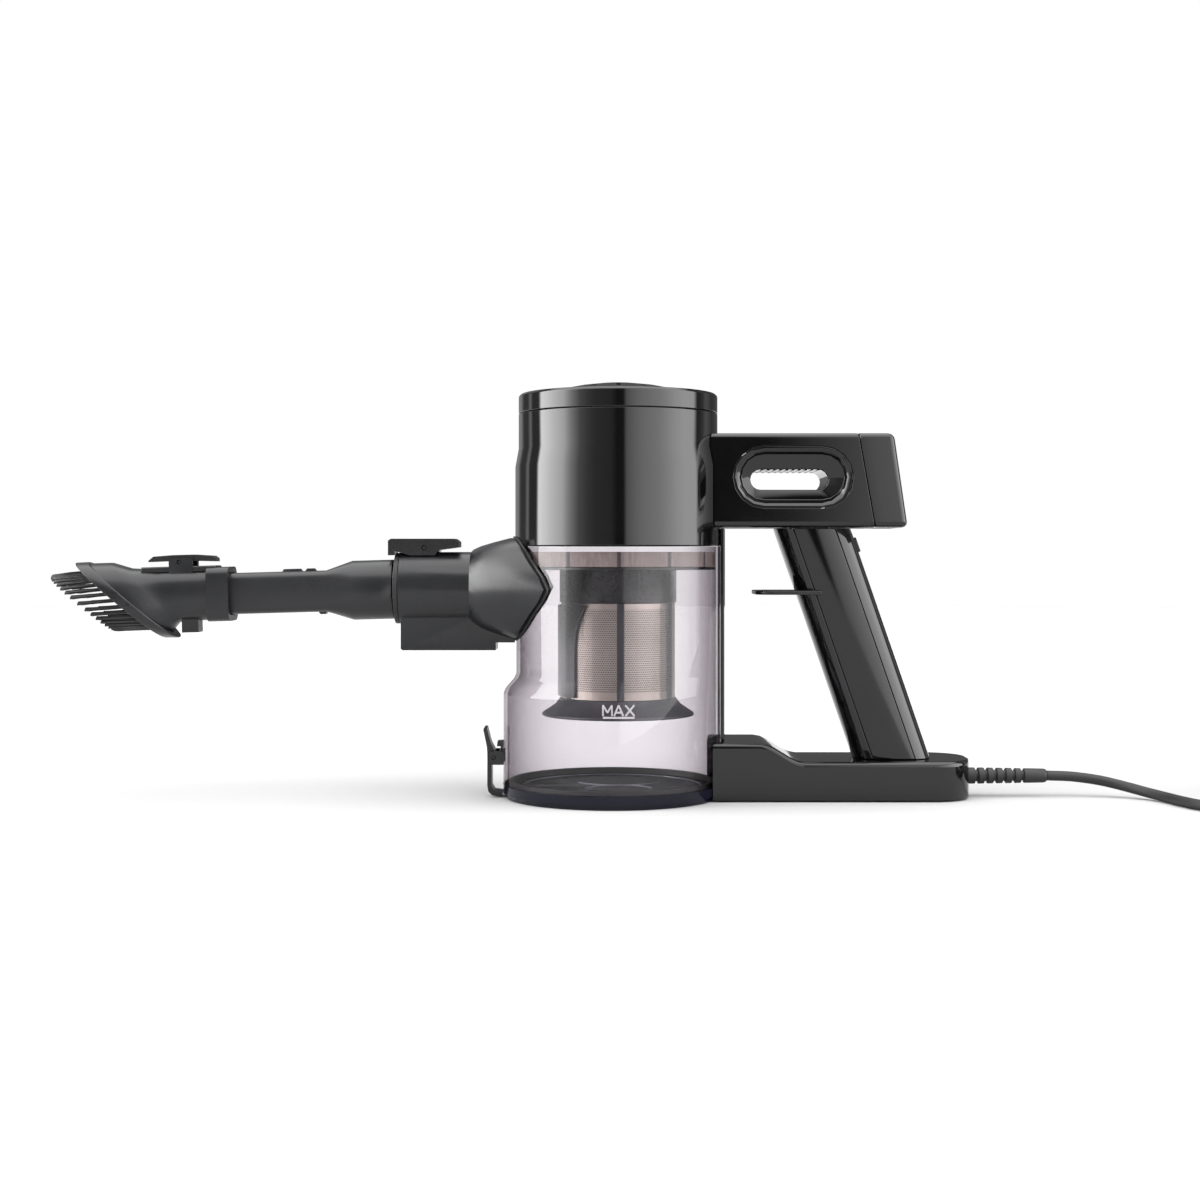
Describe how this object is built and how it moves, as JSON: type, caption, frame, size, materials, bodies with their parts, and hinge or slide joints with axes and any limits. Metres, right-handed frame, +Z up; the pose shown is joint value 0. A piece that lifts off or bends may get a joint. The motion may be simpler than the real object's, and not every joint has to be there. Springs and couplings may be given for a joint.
{
  "type": "handheld vacuum",
  "caption": "Corded handheld cyclone vacuum: motor housing over a clear drop-lid dust bin, slanted grip with slotted rear arm, inlet nozzle and sliding brush and crevice tool.",
  "frame": {"origin": "on the bin's axis, on the lid's flat underside, where the vacuum stands", "axes": "+Z up; +X to the handle and the cord, -X to the brush; Y across"},
  "size_m": [0.8436, 0.1732, 0.247],
  "materials": {
    "gloss_black": "gloss",
    "satin_black": "satin",
    "matte_graphite": "fine matte grain",
    "rubber_black": "matte",
    "tie_black": "woven",
    "smoky_clear": "clear, slightly smoky",
    "shroud_grey": "satin",
    "steel": "fine perforated or turned",
    "copper": "wound copper",
    "filter_media": "pleated",
    "bristle_black": "brushed tufts"
  },
  "bodies": {
    "main_unit": {"motor_housing": "gloss_black", "exhaust_filter": "filter_media", "motor_mount": "rubber_black", "fan_shroud": "satin_black", "motor_field": "steel", "motor_bracket": "satin_black", "rear_arm_left": "gloss_black", "rear_arm_right": "gloss_black", "slot_bezel_left": "gloss_black", "slot_bezel_right": "gloss_black", "slot_liner": "satin_black", "rear_end_cap": "gloss_black", "grip_panel_left": "gloss_black", "grip_panel_right": "gloss_black", "grip_front_strip": "gloss_black", "grip_rear_strip": "gloss_black", "finger_rest": "satin_black", "switch_body": "satin_black", "rear_rail": "gloss_black", "base_arm": "gloss_black", "base_cover": "satin_black", "base_foot": "rubber_black", "inner_lead": "rubber_black", "strain_relief": "rubber_black", "cord_lead": "rubber_black", "cord_coil": "rubber_black", "cord_tie": "tie_black", "cord_tail": "rubber_black", "plug": "rubber_black"},
    "cap": {"top_cap": "gloss_black", "exhaust_grille": "satin_black"},
    "rotor": {"motor_shaft": "steel", "armature": "copper", "impeller": "steel"},
    "dust_bin": {"bin_body": "smoky_clear", "intake_seal": "rubber_black", "separator_plate": "shroud_grey", "filter_band": "filter_media", "mesh_shroud": "steel", "cyclone_cone": "shroud_grey", "skirt": "shroud_grey", "inlet_baffle": "shroud_grey", "lid_hinge_pin": "steel", "latch_bracket": "gloss_black", "latch_pin": "steel", "latch_spring": "steel", "inlet_nozzle": "matte_graphite", "inlet_gasket": "rubber_black", "mouth_ring": "gloss_black", "release_pin": "steel"},
    "lid": {"bin_lid": "gloss_black", "lid_seal": "rubber_black"},
    "latch": {"bin_latch": "gloss_black"},
    "nozzle_release": {"release_button": "matte_graphite"},
    "switch_button": {"power_button": "satin_black"},
    "tool": {"crevice_tube": "matte_graphite"},
    "brush": {"brush_body": "matte_graphite", "bristle_ring": "bristle_black", "brush_lever_pin": "steel"},
    "brush_latch": {"brush_lever": "matte_graphite"}
  },
  "joints": [
    {"name": "bin_slide", "type": "slide", "parent": "main_unit", "child": "dust_bin", "axis": [0, 0, -1], "range_m": [0, 0.05]},
    {"name": "lid_hinge", "type": "hinge", "parent": "dust_bin", "child": "lid", "pos_m": [0.0641, 0, 0.0045], "axis": [0, -1, 0], "range_deg": [0, 85]},
    {"name": "bin_latch_rock", "type": "hinge", "parent": "dust_bin", "child": "latch", "pos_m": [-0.074, 0, 0.024], "axis": [0, 1, 0], "range_deg": [0, 12], "stiffness_Nm_per_rad": 0.08},
    {"name": "cap_lift", "type": "slide", "parent": "main_unit", "child": "cap", "axis": [0, 0, 1], "range_m": [0, 0.03]},
    {"name": "rotor_spin", "type": "hinge", "parent": "main_unit", "child": "rotor", "pos_m": [0, 0, 0.18], "axis": [0, 0, 1], "continuous": true},
    {"name": "power_press", "type": "slide", "parent": "main_unit", "child": "switch_button", "axis": [-0.945, 0, -0.3272], "range_m": [0, 0.0015], "stiffness_N_per_m": 800},
    {"name": "release_rock", "type": "hinge", "parent": "dust_bin", "child": "nozzle_release", "pos_m": [-0.1154, 0, 0.1488], "axis": [0, 1, 0], "range_deg": [0, 5], "stiffness_Nm_per_rad": 0.08},
    {"name": "tool_slide", "type": "slide", "parent": "dust_bin", "child": "tool", "axis": [-0.9996, 0, -0.0279], "range_m": [0, 0.04]},
    {"name": "brush_slide", "type": "slide", "parent": "tool", "child": "brush", "axis": [0.9996, 0, 0.0279], "range_m": [0, 0.029]},
    {"name": "brush_latch_rock", "type": "hinge", "parent": "brush", "child": "brush_latch", "pos_m": [-0.2615, 0, 0.14035], "axis": [0, 1, 0], "range_deg": [-6, 6], "stiffness_Nm_per_rad": 0.05}
  ]
}
